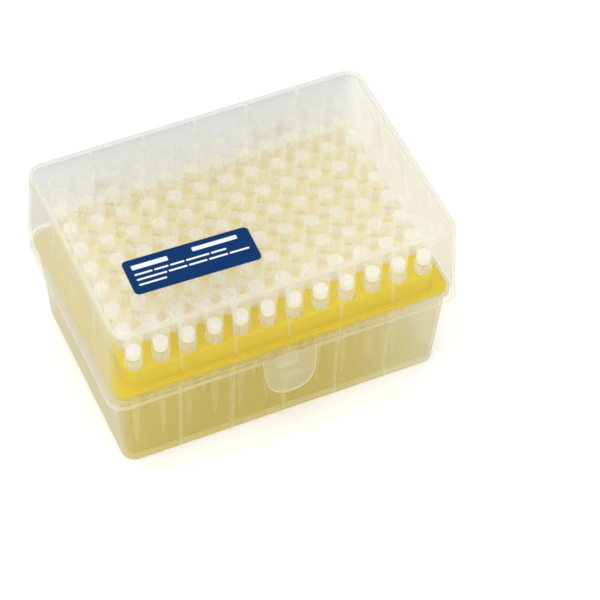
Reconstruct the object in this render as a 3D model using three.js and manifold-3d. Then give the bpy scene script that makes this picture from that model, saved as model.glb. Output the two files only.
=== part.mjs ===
// A box of pipette tips: an injection-moulded polypropylene base and hinged lid, a yellow rack that hangs in
// the base's rim, and a grid of filter tips that stand in the rack's holes.
// Millimetres, +Z up, +X to the right along the long side, -Y to the front. The origin is the middle of the
// base's underside.
import * as THREE from 'three';
import { mergeVertices } from 'three/addons/utils/BufferGeometryUtils.js';
import Module from 'manifold-3d';

const wasm = await Module();
wasm.setup();

// ---------------------------------------------------------------- driving dimensions

// Tip grid
const PITCH = 9; // from tip to tip, both ways
const COLUMNS = 12; // along the long side
const ROWS = 8; // along the short side

// Clearances
const SEAT_GAP = 0.3; // between pieces that rest on each other or slide past each other
const PLUG_GAP = 0.25; // between a filter and its tip's bore
const PIN_CLEARANCE = 0.2; // between the hinge pin and its clip, on the radius
const SKIRT_GAP = 0.2; // between the outer tips and the rack's skirt
const LID_GAP = 0.4; // between the base's rim and the lid's wall
const POINT_CLEARANCE = 2.85; // from the base's floor up to the tips' points
const HEADROOM = 2.2; // from the tips' mouths up to the lid's roof

// Tip, measured down from its mouth
const TIP_LENGTH = 59;
const MOUTH_RADIUS = 3.3;
const TIP_WALL = 0.55;
const SHOULDER_DEPTH = 19.8; // where the ribbed part ends and rests on the rack
const SHOULDER_RADIUS = 2.95;
const BODY_RADIUS = 2.5; // just under the shoulder
const POINT_RADIUS = 0.5;
const ORIFICE_RADIUS = 0.25;
const TIP_SIDES = 8;

// Filter
const FILTER_DEPTH = 12.2; // from the tip's mouth to the filter's top
const FILTER_LENGTH = 3.8;

// Rack
const DECK_RISE = 7.05; // from the base's rim up to the top of the deck
const DECK_THICKNESS = 1.5;
const SKIRT_WALL = 0.7;
const DECK_CORNER = 3.5;
const DECK_EDGE = 0.5; // bevel around the deck
const HOLE_CLEARANCE = 0.25; // between a hole and the tip's body, on the radius
const FLANGE_AT_ENDS = 4.3; // how far the flange stands out from the skirt at the short walls
const FLANGE_AT_FRONT = 2.2; // and at the front
const FLANGE_AT_BACK = 2.7; // and at the back

// Base
const FLOOR = 1.5;
const BASE_WALL = 1.3;
const BASE_DRAFT_AT_ENDS = 0.07; // how far a short wall leans out for each millimetre up
const BASE_DRAFT_AT_FRONT = 0.0437; // and the front and back walls
const BASE_CORNER = 4.7;
const BASE_EDGE = 0.8; // bevel around the underside
const RIM_LIP = 0.7; // thickness of the lip around the rack's flange
const RIM_STEP_AT_ENDS = 1.1; // how far the rim stands out from the short walls
const RIM_STEP_AT_FRONT = 0.85; // and from the front and back walls
const LEDGE_DEPTH = 1.5; // from the rim's top down to the rack's ledge

// Lid
const LID_OVERLAP = 3.4; // from the rim's top down to the lid's lower edge
const LID_WALL = 1.1;
const LID_ROOF = 1.4;
const LID_DRAFT_AT_ENDS = 0.055; // how far a short wall leans in for each millimetre up
const LID_DRAFT_AT_FRONT = 0.028; // and the front and back walls
const LID_CORNER = 5.4;
const LID_EDGE = 2; // rounding around its top
const BACK_WALL_RISE = 0.8; // from the base's rim up to the lower edge of the lid's back wall

// Wall ribs of base and lid
const RIB_THICKNESS = 0.9;
const RIB_DEPTH = 0.7; // how far a rib stands from its wall
const RIB_TOP_DROP = 1.5; // from the rack's ledge down to the top of a base rib
const RIB_FOOT = 1.4; // how much deeper a base rib is at the floor
const RIB_FOOT_HEIGHT = 2.6;
const GUSSET_DEPTH = 3; // how far a lid rib reaches in under the roof
const GUSSET_LENGTH = 12.5; // from the roof down to where a lid rib starts to widen
const GUSSET_SHANK = 3.1; // from the roof down to where it has its full depth

// Thumb tab of the lid, and the catch behind it
const TAB_WIDTH = 18.5;
const TAB_DROP = 15.4; // below the lid's lower edge
const TAB_FOOT_WIDTH = 17;
const TAB_CORNER = 7.8;
const TAB_WALL = 0.9; // it hangs from the middle of the lid's wall, which is thicker
const TAB_FLARE = 2.2; // how far its foot stands out
const CATCH_WIDTH = 7;
const CATCH_RISE = 4.8;
const CATCH_DEPTH = 1.5;
const CATCH_DROP = 6.2; // from the lid's lower edge to the catch's ledge
const DETENT_RADIUS = 0.8;
const DETENT_DROP = 2.4; // from the catch's ledge to the middle of the tab's bead

// Hinge
const HINGE_INSET = 24; // from the end of the grid of tips to the middle of a hinge
const HINGE_RISE = 4.8; // from the base's rim up to the hinge's axis
const HINGE_REACH = 3.3; // from the lid's back wall out to the axis
const CLIP_WIDTH = 8;
const EAR_THICKNESS = 1.6;
const KNUCKLE_RADIUS = 2;
const PIN_RADIUS = 1;
const CLIP_MOUTH = 1.7; // slot through which the clip snaps over its pin
const CLIP_REACH = 6; // from the axis up to the top of the clip's root on the back wall
const EAR_DROP = 14; // from the axis down to the foot of an ear on the base's wall
const EAR_CHEEK = 3; // from the axis down to where an ear starts to narrow
const BACK_RIB_DROP = 1.5; // from the axis down to the feet of the ribs on the lid's back wall
const PIN_SIDES = 16;

// Label
const LABEL_LENGTH = 41.5;
const LABEL_WIDTH = 14;
const LABEL_THICKNESS = 0.15;
const LABEL_CORNER = 1.6;
const LABEL_SIDE_MARGIN = 12.8; // from the lid's left side
const LABEL_FRONT_MARGIN = 13.4; // from the lid's front
const LABEL_TURN = THREE.MathUtils.degToRad(-1.8);

const CORNER_DIVISIONS = 3; // a rounded corner has twice as many flats

// ---------------------------------------------------------------- sizes that follow

const OVERSHOOT = 1; // how far a cutter stands out of what it cuts
const ROOT = 0.6; // how far an added feature is sunk into its wall

// Heights, from the underside up: the tips stand clear of the floor, and everything else follows them.
const MOUTH_HEIGHT = FLOOR + POINT_CLEARANCE + TIP_LENGTH;
const DECK_HEIGHT = MOUTH_HEIGHT - SHOULDER_DEPTH - SEAT_GAP;
const BASE_HEIGHT = DECK_HEIGHT - DECK_RISE;
const LEDGE_HEIGHT = BASE_HEIGHT - LEDGE_DEPTH;
const LID_BOTTOM = BASE_HEIGHT - LID_OVERLAP;
const RIM_BOTTOM = LID_BOTTOM + SEAT_GAP;
const LID_CEILING = MOUTH_HEIGHT + HEADROOM;
const LID_TOP = LID_CEILING + LID_ROOF;

// Half sizes in plan, from the grid of tips out: the skirt clears the tips, the flange stands out from the
// skirt, the rim's lip clears the flange, and the lid clears the rim.
const GRID_LENGTH = (COLUMNS - 1) * PITCH;
const GRID_WIDTH = (ROWS - 1) * PITCH;
const grow = (half, x, y = x) => ({ x: half.x + x, y: half.y + y });
const deckHalf = grow({ x: GRID_LENGTH / 2, y: GRID_WIDTH / 2 }, BODY_RADIUS + SKIRT_GAP + SKIRT_WALL);
const flangeHalf = grow(deckHalf, FLANGE_AT_ENDS, (FLANGE_AT_FRONT + FLANGE_AT_BACK) / 2);
const rimHalf = grow(flangeHalf, SEAT_GAP + RIM_LIP);
const baseHalf = (z) => {
  const above = z - RIM_BOTTOM;
  const atEnds = BASE_DRAFT_AT_ENDS * above - RIM_STEP_AT_ENDS;
  return grow(rimHalf, atEnds, BASE_DRAFT_AT_FRONT * above - RIM_STEP_AT_FRONT);
};
const lidHalf = (z) => {
  const below = BASE_HEIGHT - z;
  const wall = LID_GAP + LID_WALL;
  return grow(rimHalf, wall + LID_DRAFT_AT_ENDS * below, wall + LID_DRAFT_AT_FRONT * below);
};
const baseInner = (z) => grow(baseHalf(z), -BASE_WALL);
const lidInner = (z) => grow(lidHalf(z), -LID_WALL);

// The middle of the grid is as far off the box's middle as the flange is uneven.
const GRID_OFFSET = (FLANGE_AT_FRONT - FLANGE_AT_BACK) / 2;

const HOLE_RADIUS = BODY_RADIUS + HOLE_CLEARANCE;

// Ribs stand in line with the gap between every second pair of tips.
const RIB_SPACING = 2 * PITCH;
const LONG_WALL_RIBS = COLUMNS / 2 - 1;
const SHORT_WALL_RIBS = ROWS / 2 - 1;

// The hinge's axis stands behind the lid's back wall and above the rim, so that the lid's front wall, as it
// rises, passes in front of the tips.
const HINGE_X = (COLUMNS * PITCH) / 2 - HINGE_INSET;
const HINGE_Y = lidHalf(BASE_HEIGHT).y + HINGE_REACH;
const HINGE_Z = BASE_HEIGHT + HINGE_RISE;

// ---------------------------------------------------------------- solids

// Makes a solid from a closed geometry, with its shared vertices merged and its faces turned out.
function solid(geometry) {
  const bare = geometry.clone();
  bare.deleteAttribute('normal');
  bare.deleteAttribute('uv');
  const merged = mergeVertices(bare);
  const corners = merged.index.array;
  const triangles = [];
  for (let i = 0; i < corners.length; i += 3) {
    const [a, b, c] = corners.slice(i, i + 3);
    if (a !== b && b !== c && c !== a) triangles.push(a, b, c);
  }
  const make = (triVerts) =>
    new wasm.Manifold(
      new wasm.Mesh({
        numProp: 3,
        vertProperties: new Float32Array(merged.attributes.position.array),
        triVerts: new Uint32Array(triVerts),
      }),
    );
  const first = make(triangles);
  return first.volume() > 0 ? first : make(triangles.reverse());
}

function toGeometry(body) {
  const mesh = body.getMesh();
  const geometry = new THREE.BufferGeometry();
  geometry.setAttribute('position', new THREE.BufferAttribute(mesh.vertProperties, 3));
  geometry.setIndex(new THREE.BufferAttribute(mesh.triVerts, 1));
  geometry.computeVertexNormals();
  return geometry;
}

const join = (first, ...others) => others.reduce((sum, other) => sum.add(other), first);
const cut = (first, ...others) => others.reduce((rest, other) => rest.subtract(other), first);

function roundedRectangle(halfX, halfY, radius) {
  const quarter = Math.PI / 2;
  return new THREE.Shape()
    .absarc(halfX - radius, halfY - radius, radius, 0, quarter)
    .absarc(radius - halfX, halfY - radius, radius, quarter, 2 * quarter)
    .absarc(radius - halfX, radius - halfY, radius, 2 * quarter, 3 * quarter)
    .absarc(halfX - radius, radius - halfY, radius, 3 * quarter, 4 * quarter);
}

// Joins rounded rectangles at rising heights into one closed body with leaning sides.
function loft(sections) {
  const rings = sections.map(({ x, y, z, corner }) =>
    roundedRectangle(x, y, corner)
      .getPoints(CORNER_DIVISIONS)
      .slice(0, -1)
      .map((p) => new THREE.Vector3(p.x, p.y, z)),
  );
  const count = rings[0].length;
  const index = [];
  for (let level = 0; level + 1 < rings.length; level++) {
    for (let i = 0; i < count; i++) {
      const a = level * count + i;
      const b = level * count + ((i + 1) % count);
      index.push(a, b, b + count, a, b + count, a + count);
    }
  }
  const lastRing = (rings.length - 1) * count;
  const cap = THREE.ShapeUtils.triangulateShape(
    rings[0].map((p) => new THREE.Vector2(p.x, p.y)),
    [],
  );
  for (const [a, b, c] of cap) {
    index.push(c, b, a);
    index.push(lastRing + a, lastRing + b, lastRing + c);
  }
  const geometry = new THREE.BufferGeometry().setFromPoints(rings.flat());
  geometry.setIndex(index);
  return solid(geometry);
}

// Turns a profile of [radius, height] points around the Z axis. It starts and ends on the axis, or closes.
function turn(profile, sides) {
  const points = profile.map(([radius, height]) => new THREE.Vector2(radius, height));
  const geometry = new THREE.LatheGeometry(points, sides, Math.PI / sides);
  return solid(geometry.rotateX(Math.PI / 2));
}

// Extrudes an outline of [y, z] points along X, centred on x.
function extrudeAlongX(outline, width, x = 0) {
  const shape = new THREE.Shape(outline.map(([y, z]) => new THREE.Vector2(y, z)));
  const geometry = new THREE.ExtrudeGeometry(shape, { depth: width, bevelEnabled: false });
  const toAxes = new THREE.Matrix4().makeBasis(
    new THREE.Vector3(0, 1, 0),
    new THREE.Vector3(0, 0, 1),
    new THREE.Vector3(1, 0, 0),
  );
  return solid(geometry.applyMatrix4(toAxes).translate(x - width / 2, 0, 0));
}

// A round bar along X.
function barAlongX(radius, width, x, y, z) {
  const geometry = new THREE.CylinderGeometry(radius, radius, width, PIN_SIDES);
  return solid(geometry.rotateZ(Math.PI / 2).translate(x, y, z));
}

// Ribs stand on all four walls, in line with the gaps between every second pair of tips. The outline is of
// [depth, z] points, with depth measured in from the wall's inner face, which is at inner(z).
function wallRibs(outline, inner) {
  const ribs = [];
  const places = (count) => [...Array(count).keys()].map((i) => (i - (count - 1) / 2) * RIB_SPACING);
  for (const side of [-1, 1]) {
    const standing = outline.map(([depth, z]) => [side * (inner(z).y - depth), z]);
    for (const x of places(LONG_WALL_RIBS)) ribs.push(extrudeAlongX(standing, RIB_THICKNESS, x));
    const end = outline.map(([depth, z]) => [side * (inner(z).x - depth), z]);
    for (const y of places(SHORT_WALL_RIBS)) {
      ribs.push(extrudeAlongX(end, RIB_THICKNESS, y).rotate([0, 0, -90]).translate([0, GRID_OFFSET, 0]));
    }
  }
  return ribs;
}

// ---------------------------------------------------------------- tips and filters

// The bore narrows evenly from the mouth to the filter's foot, and from there to the orifice.
const FILTER_FOOT = FILTER_DEPTH + FILTER_LENGTH;
const boreAt = (depth) =>
  THREE.MathUtils.mapLinear(depth, 0, FILTER_FOOT, MOUTH_RADIUS - TIP_WALL, BODY_RADIUS - TIP_WALL);

const tipOutside = (shoulder) => [
  [POINT_RADIUS, -TIP_LENGTH],
  [BODY_RADIUS, -shoulder],
  [SHOULDER_RADIUS, -shoulder],
  [MOUTH_RADIUS, 0],
];

function tipSolid() {
  const bore = [
    [boreAt(0), 0],
    [boreAt(FILTER_FOOT), -FILTER_FOOT],
    [ORIFICE_RADIUS, -TIP_LENGTH],
  ];
  const outside = tipOutside(SHOULDER_DEPTH);
  return turn([...outside, ...bore, outside[0]], TIP_SIDES);
}

function filterSolid() {
  const profile = [
    [0, -FILTER_FOOT],
    [boreAt(FILTER_FOOT) - PLUG_GAP, -FILTER_FOOT],
    [boreAt(FILTER_DEPTH) - PLUG_GAP, -FILTER_DEPTH],
    [0, -FILTER_DEPTH],
  ];
  return turn(profile, TIP_SIDES);
}

// A tip of the rack's own body, with its filter in it: its outside, whose shoulder is sunk in the deck, and the
// two hollows that the filter parts.
function fusedOutside() {
  return turn([[0, -TIP_LENGTH], ...tipOutside(SHOULDER_DEPTH + 2 * SEAT_GAP), [0, 0]], TIP_SIDES);
}

function upperHollow() {
  const profile = [
    [0, -FILTER_DEPTH],
    [boreAt(FILTER_DEPTH), -FILTER_DEPTH],
    [boreAt(0), 0],
    [boreAt(0), OVERSHOOT],
    [0, OVERSHOOT],
  ];
  return turn(profile, TIP_SIDES);
}

function lowerHollow() {
  const profile = [
    [0, -TIP_LENGTH - OVERSHOOT],
    [ORIFICE_RADIUS, -TIP_LENGTH - OVERSHOOT],
    [ORIFICE_RADIUS, -TIP_LENGTH],
    [boreAt(FILTER_FOOT), -FILTER_FOOT],
    [0, -FILTER_FOOT],
  ];
  return turn(profile, TIP_SIDES);
}

// Rows are lettered from the back, and columns numbered from the left.
const places = [];
for (let row = 0; row < ROWS; row++) {
  for (let column = 0; column < COLUMNS; column++) {
    places.push({
      x: column * PITCH - GRID_LENGTH / 2,
      y: GRID_OFFSET + GRID_WIDTH / 2 - row * PITCH,
      name: `${String.fromCharCode(97 + row)}${String(column + 1).padStart(2, '0')}`,
      loose: row === 0 || row === ROWS - 1,
    });
  }
}

// ---------------------------------------------------------------- rack

// A flat deck on a thin skirt, with a flange that lies on the base's ledge. The tips of the inner rows are
// part of this body, and the front and back rows have holes.
function rackSolid() {
  const under = DECK_HEIGHT - DECK_THICKNESS;
  const flangeBottom = LEDGE_HEIGHT + SEAT_GAP;
  const deck = loft([
    { ...deckHalf, z: flangeBottom, corner: DECK_CORNER },
    { ...deckHalf, z: DECK_HEIGHT - DECK_EDGE, corner: DECK_CORNER },
    { ...grow(deckHalf, -DECK_EDGE), z: DECK_HEIGHT, corner: DECK_CORNER - DECK_EDGE },
  ]);
  const inside = { ...grow(deckHalf, -SKIRT_WALL), corner: DECK_CORNER - SKIRT_WALL };
  const hollow = loft([
    { ...inside, z: flangeBottom - OVERSHOOT },
    { ...inside, z: under },
  ]);
  const flangeCorner = BASE_CORNER - RIM_LIP;
  const flange = loft([
    { ...flangeHalf, z: flangeBottom, corner: flangeCorner },
    { ...flangeHalf, z: BASE_HEIGHT, corner: flangeCorner },
  ]);
  const shell = deck.subtract(hollow).translate([0, GRID_OFFSET, 0]);
  const opening = hollow.translate([0, GRID_OFFSET, 0]);
  let rack = flange.subtract(opening).add(shell);

  const hole = turn(
    [
      [0, under - OVERSHOOT],
      [HOLE_RADIUS, under - OVERSHOOT],
      [HOLE_RADIUS, DECK_HEIGHT + OVERSHOOT],
      [0, DECK_HEIGHT + OVERSHOOT],
    ],
    TIP_SIDES,
  );
  const tip = fusedOutside().translate([0, 0, MOUTH_HEIGHT]);
  const hollows = upperHollow().add(lowerHollow()).translate([0, 0, MOUTH_HEIGHT]);
  for (const { x, y, loose } of places) {
    if (loose) rack = rack.subtract(hole.translate([x, y, 0]));
    else rack = rack.add(tip.translate([x, y, 0])).subtract(hollows.translate([x, y, 0]));
  }
  return rack;
}

// ---------------------------------------------------------------- base

// An ear rises from the base's back wall, behind the rim, to the pin.
function hingeEars() {
  const ears = [];
  const foot = HINGE_Z - EAR_DROP;
  const outline = [
    [rimHalf.y - RIM_LIP / 2, BASE_HEIGHT],
    [baseHalf(foot).y - ROOT, foot],
    [HINGE_Y + KNUCKLE_RADIUS, HINGE_Z - EAR_CHEEK],
    [HINGE_Y + KNUCKLE_RADIUS, HINGE_Z],
    [HINGE_Y - KNUCKLE_RADIUS, HINGE_Z],
    [HINGE_Y - KNUCKLE_RADIUS, BASE_HEIGHT],
  ];
  const offset = CLIP_WIDTH / 2 + SEAT_GAP + EAR_THICKNESS / 2;
  for (const middle of [-HINGE_X, HINGE_X]) {
    for (const x of [middle - offset, middle + offset]) {
      ears.push(extrudeAlongX(outline, EAR_THICKNESS, x));
      ears.push(barAlongX(KNUCKLE_RADIUS, EAR_THICKNESS, x, HINGE_Y, HINGE_Z));
    }
    ears.push(barAlongX(PIN_RADIUS, 2 * offset, middle, HINGE_Y, HINGE_Z));
  }
  return ears;
}

// A wedge on the front wall, whose ledge faces down.
function catchWedge() {
  const ledge = LID_BOTTOM - CATCH_DROP;
  const top = ledge + CATCH_RISE;
  const face = (z) => -baseHalf(z).y;
  const outline = [
    [face(ledge) + ROOT, ledge],
    [face(ledge) - CATCH_DEPTH, ledge],
    [face(top), top],
    [face(top) + ROOT, top],
  ];
  return extrudeAlongX(outline, CATCH_WIDTH);
}

function baseSolid() {
  const outside = loft([
    { ...grow(baseHalf(0), -BASE_EDGE), z: 0, corner: BASE_CORNER - BASE_EDGE },
    { ...baseHalf(BASE_EDGE), z: BASE_EDGE, corner: BASE_CORNER },
    { ...baseHalf(BASE_HEIGHT), z: BASE_HEIGHT, corner: BASE_CORNER },
  ]);
  const rim = loft([
    { ...baseHalf(RIM_BOTTOM), z: RIM_BOTTOM, corner: BASE_CORNER },
    { ...rimHalf, z: RIM_BOTTOM + RIM_LIP, corner: BASE_CORNER },
    { ...rimHalf, z: BASE_HEIGHT, corner: BASE_CORNER },
  ]);
  const open = BASE_HEIGHT + OVERSHOOT;
  const hollow = loft([
    { ...baseInner(FLOOR), z: FLOOR, corner: BASE_CORNER - BASE_WALL },
    { ...baseInner(open), z: open, corner: BASE_CORNER - BASE_WALL },
  ]);
  const lip = { ...grow(rimHalf, -RIM_LIP), corner: BASE_CORNER - RIM_LIP };
  const seat = loft([
    { ...lip, z: LEDGE_HEIGHT },
    { ...lip, z: open },
  ]);
  // Ribs run up the wall from a deeper foot on the floor.
  const top = LEDGE_HEIGHT - RIB_TOP_DROP;
  const ribs = wallRibs(
    [
      [-ROOT, FLOOR - ROOT],
      [RIB_DEPTH + RIB_FOOT, FLOOR - ROOT],
      [RIB_DEPTH + RIB_FOOT, FLOOR],
      [RIB_DEPTH, FLOOR + RIB_FOOT_HEIGHT],
      [RIB_DEPTH, top],
      [-ROOT, top],
    ],
    baseInner,
  );
  return join(cut(outside.add(rim), hollow, seat), ...ribs, catchWedge(), ...hingeEars());
}

// ---------------------------------------------------------------- lid

function thumbTab() {
  const top = LID_BOTTOM + ROOT;
  const foot = LID_BOTTOM - TAB_DROP;
  const half = TAB_WIDTH / 2;
  const footHalf = TAB_FOOT_WIDTH / 2;
  // The outline is drawn looking at the front: across, and up.
  const outline = new THREE.Shape()
    .moveTo(-half, top)
    .lineTo(-half, LID_BOTTOM)
    .lineTo(-footHalf, foot + TAB_CORNER)
    .quadraticCurveTo(-footHalf, foot, TAB_CORNER - footHalf, foot)
    .lineTo(footHalf - TAB_CORNER, foot)
    .quadraticCurveTo(footHalf, foot, footHalf, foot + TAB_CORNER)
    .lineTo(half, LID_BOTTOM)
    .lineTo(half, top);
  const geometry = new THREE.ExtrudeGeometry(outline, {
    depth: TAB_WALL,
    bevelEnabled: false,
    curveSegments: 2 * CORNER_DIVISIONS,
  });
  // Stand it up at the front wall and lean its foot outwards.
  const front = lidHalf(LID_BOTTOM).y - (LID_WALL - TAB_WALL) / 2;
  const slope = TAB_FLARE / TAB_DROP;
  const stand = new THREE.Matrix4().set(
    1, 0, 0, 0,
    0, slope, 1, -front - slope * LID_BOTTOM,
    0, 1, 0, 0,
    0, 0, 0, 1,
  );
  const detentHeight = LID_BOTTOM - CATCH_DROP - DETENT_DROP;
  const innerFace = slope * detentHeight - front - slope * LID_BOTTOM + TAB_WALL;
  const detent = barAlongX(DETENT_RADIUS, CATCH_WIDTH, 0, innerFace, detentHeight);
  return solid(geometry.applyMatrix4(stand)).add(detent);
}

// The clips snap over the base's pins from above, with their mouths down.
function hingeClips() {
  const clips = [];
  const wallRoot = (z) => lidHalf(z).y - ROOT;
  const armBottom = HINGE_Z - KNUCKLE_RADIUS;
  const armTop = HINGE_Z + CLIP_REACH;
  const arm = [
    [wallRoot(armBottom), armBottom],
    [HINGE_Y, armBottom],
    [HINGE_Y + KNUCKLE_RADIUS, HINGE_Z],
    [lidHalf(armTop).y, armTop],
    [wallRoot(armTop), armTop],
  ];
  const mouth = [
    [HINGE_Y - CLIP_MOUTH / 2, HINGE_Z],
    [HINGE_Y - CLIP_MOUTH / 2, HINGE_Z - KNUCKLE_RADIUS - OVERSHOOT],
    [HINGE_Y + CLIP_MOUTH / 2, HINGE_Z - KNUCKLE_RADIUS - OVERSHOOT],
    [HINGE_Y + CLIP_MOUTH / 2, HINGE_Z],
  ];
  const boreWidth = CLIP_WIDTH + 2 * OVERSHOOT;
  for (const x of [-HINGE_X, HINGE_X]) {
    clips.push(
      cut(
        extrudeAlongX(arm, CLIP_WIDTH, x).add(barAlongX(KNUCKLE_RADIUS, CLIP_WIDTH, x, HINGE_Y, HINGE_Z)),
        barAlongX(PIN_RADIUS + PIN_CLEARANCE, boreWidth, x, HINGE_Y, HINGE_Z),
        extrudeAlongX(mouth, boreWidth, x),
      ),
    );
  }
  return clips;
}

function lidSolid() {
  const inset = (z, amount, corner) => ({ ...grow(lidHalf(z), -amount), z, corner });
  const bend = LID_EDGE * (1 - Math.SQRT1_2);
  const outside = loft([
    inset(LID_BOTTOM, 0, LID_CORNER),
    inset(LID_TOP - LID_EDGE, 0, LID_CORNER),
    inset(LID_TOP - bend, bend, LID_CORNER - bend),
    inset(LID_TOP, LID_EDGE, LID_CORNER - LID_EDGE),
  ]);
  const innerCorner = LID_CORNER - LID_WALL;
  const innerEdge = LID_EDGE - LID_WALL;
  const hollow = loft([
    inset(LID_BOTTOM - OVERSHOOT, LID_WALL, innerCorner),
    inset(LID_CEILING - innerEdge, LID_WALL, innerCorner),
    inset(LID_CEILING, LID_WALL + innerEdge, innerCorner - innerEdge),
  ]);
  // The back wall and the rear corners are shorter, so that they turn clear of the rim.
  const behind = (below) => {
    const front = rimHalf.y - BASE_CORNER;
    const back = lidHalf(LID_BOTTOM).y + OVERSHOOT;
    const bottom = LID_BOTTOM - OVERSHOOT;
    const outline = [
      [front, bottom],
      [back, bottom],
      [back, below],
      [front, below],
    ];
    return extrudeAlongX(outline, 2 * (lidHalf(LID_BOTTOM).x + OVERSHOOT));
  };
  // A rib stands on the base's rim, follows the leaning wall up, and widens into a gusset under the roof.
  const foot = BASE_HEIGHT + SEAT_GAP;
  const ribs = wallRibs(
    [
      [-ROOT, foot],
      [RIB_DEPTH, foot],
      [RIB_DEPTH, LID_CEILING - GUSSET_LENGTH],
      [GUSSET_DEPTH, LID_CEILING - GUSSET_SHANK],
      [GUSSET_DEPTH, LID_CEILING + ROOT],
      [0, LID_CEILING + ROOT],
    ],
    lidInner,
  ).map((rib) => rib.subtract(behind(HINGE_Z - BACK_RIB_DROP)));
  const shell = cut(outside, hollow, behind(BASE_HEIGHT + BACK_WALL_RISE));
  return join(shell, ...ribs, thumbTab(), ...hingeClips());
}

// ---------------------------------------------------------------- label

function labelGeometry() {
  return new THREE.ExtrudeGeometry(roundedRectangle(LABEL_LENGTH / 2, LABEL_WIDTH / 2, LABEL_CORNER), {
    depth: LABEL_THICKNESS,
    bevelEnabled: false,
    curveSegments: CORNER_DIVISIONS,
  });
}

// ---------------------------------------------------------------- assembly

const naturalPlastic = () =>
  new THREE.MeshStandardMaterial({ color: 0xe6e6dc, roughness: 0.35, metalness: 0 });

function part(name, geometry, material) {
  const mesh = new THREE.Mesh(geometry, material);
  mesh.name = name;
  return mesh;
}

const box = new THREE.Group();
box.add(part('base', toGeometry(baseSolid()), naturalPlastic()));
box.add(
  part(
    'rack',
    toGeometry(rackSolid()),
    new THREE.MeshStandardMaterial({ color: 0xf0cc10, roughness: 0.4, metalness: 0 }),
  ),
);

const tipGeometry = toGeometry(tipSolid());
const filterGeometry = toGeometry(filterSolid());
for (const { x, y, name, loose } of places) {
  if (!loose) continue;
  const tip = part(
    `tip_${name}`,
    tipGeometry,
    new THREE.MeshStandardMaterial({ color: 0xe8eaea, roughness: 0.2, metalness: 0 }),
  );
  const filter = part(
    `filter_${name}`,
    filterGeometry,
    new THREE.MeshStandardMaterial({ color: 0xf6f6f4, roughness: 0.9, metalness: 0 }),
  );
  for (const mesh of [tip, filter]) {
    mesh.position.set(x, y, MOUTH_HEIGHT);
    box.add(mesh);
  }
}

const lid = new THREE.Group();
lid.add(part('lid', toGeometry(lidSolid()), naturalPlastic()));
const label = part(
  'label',
  labelGeometry(),
  new THREE.MeshStandardMaterial({ color: 0x0a3f88, roughness: 0.45, metalness: 0 }),
);
label.position.set(
  LABEL_SIDE_MARGIN + LABEL_LENGTH / 2 - lidHalf(LID_TOP).x,
  LABEL_FRONT_MARGIN + LABEL_WIDTH / 2 - lidHalf(LID_TOP).y,
  LID_TOP,
);
label.rotation.z = LABEL_TURN;
lid.add(label);
box.add(lid);

export default box;
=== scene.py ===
import math

import bmesh
import bpy
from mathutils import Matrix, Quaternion, Vector


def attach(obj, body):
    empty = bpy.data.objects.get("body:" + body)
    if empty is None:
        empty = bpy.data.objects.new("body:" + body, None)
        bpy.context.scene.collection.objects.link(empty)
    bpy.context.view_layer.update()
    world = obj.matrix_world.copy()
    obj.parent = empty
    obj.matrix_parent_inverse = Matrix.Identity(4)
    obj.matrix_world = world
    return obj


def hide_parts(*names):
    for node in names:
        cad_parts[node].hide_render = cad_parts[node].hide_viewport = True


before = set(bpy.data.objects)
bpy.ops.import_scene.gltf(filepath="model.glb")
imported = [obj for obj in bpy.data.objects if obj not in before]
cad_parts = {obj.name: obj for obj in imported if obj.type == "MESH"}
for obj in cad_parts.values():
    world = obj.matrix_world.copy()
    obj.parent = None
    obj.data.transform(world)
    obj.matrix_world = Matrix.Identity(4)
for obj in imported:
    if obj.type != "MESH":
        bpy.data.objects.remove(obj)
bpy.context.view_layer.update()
scene = bpy.context.scene


# ---------------------------------------------------------------- camera
# A long lens on a stand in front of the box and to its left, looking down on the lid. It is tipped a little
# to one side, as the object sits in its frame.

MM = 0.001
AZIMUTH = math.radians(-25.58)
ELEVATION = math.radians(50.01)
ROLL = math.radians(1.94)
DISTANCE = 883.75 * MM
AIM = Vector((21.19, -1.13, 7.67)) * MM
LENS = 159.35
SENSOR = 36
NEAREST = 0.05
FARTHEST = 20

camera = bpy.data.objects.new("camera", bpy.data.cameras.new("camera"))
camera.data.sensor_width = SENSOR
camera.data.lens = LENS
camera.data.clip_start = NEAREST
camera.data.clip_end = FARTHEST
back = Vector((
    math.sin(AZIMUTH) * math.cos(ELEVATION),
    -math.cos(AZIMUTH) * math.cos(ELEVATION),
    math.sin(ELEVATION),
))
camera.location = AIM + back * DISTANCE
camera.rotation_mode = "QUATERNION"
camera.rotation_quaternion = (-back).to_track_quat("-Z", "Y") @ Quaternion((0, 0, 1), ROLL)
scene.collection.objects.link(camera)
scene.camera = camera

scene.view_settings.view_transform = "Standard"
scene.cycles.transparent_max_bounces = 64
scene.cycles.max_bounces = 32
scene.cycles.diffuse_bounces = 24


# ---------------------------------------------------------------- floor and studio light
# A sheet of white paper under the box, one broad soft lamp overhead, a weaker one at the left, and an even
# white room around it all.

PAPER_SIDE = 6.0
PAPER_DROP = 0.3 * MM
PAPER_SHADE = 0.82
PAPER_ROUGH = 0.4
PAPER_LIFT = 0.3  # seen directly, so that the sheet looks white
ROOM_LIGHT = 0.78
OVERHEAD_PLACE = (-0.15, 0.1, 1.3)
OVERHEAD_SIDE = 0.9
OVERHEAD_POWER = 6.5
LEFT_PLACE = (-1.1, -0.6, 0.7)
LEFT_SIDE = 0.7
LEFT_POWER = 2.5


def shader_tree(name):
    """A new material and its node tree, emptied but for the output."""
    material = bpy.data.materials.new(name)
    material.use_nodes = True
    tree = material.node_tree
    for node in list(tree.nodes):
        if node.type != "OUTPUT_MATERIAL":
            tree.nodes.remove(node)
    return material, tree


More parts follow.
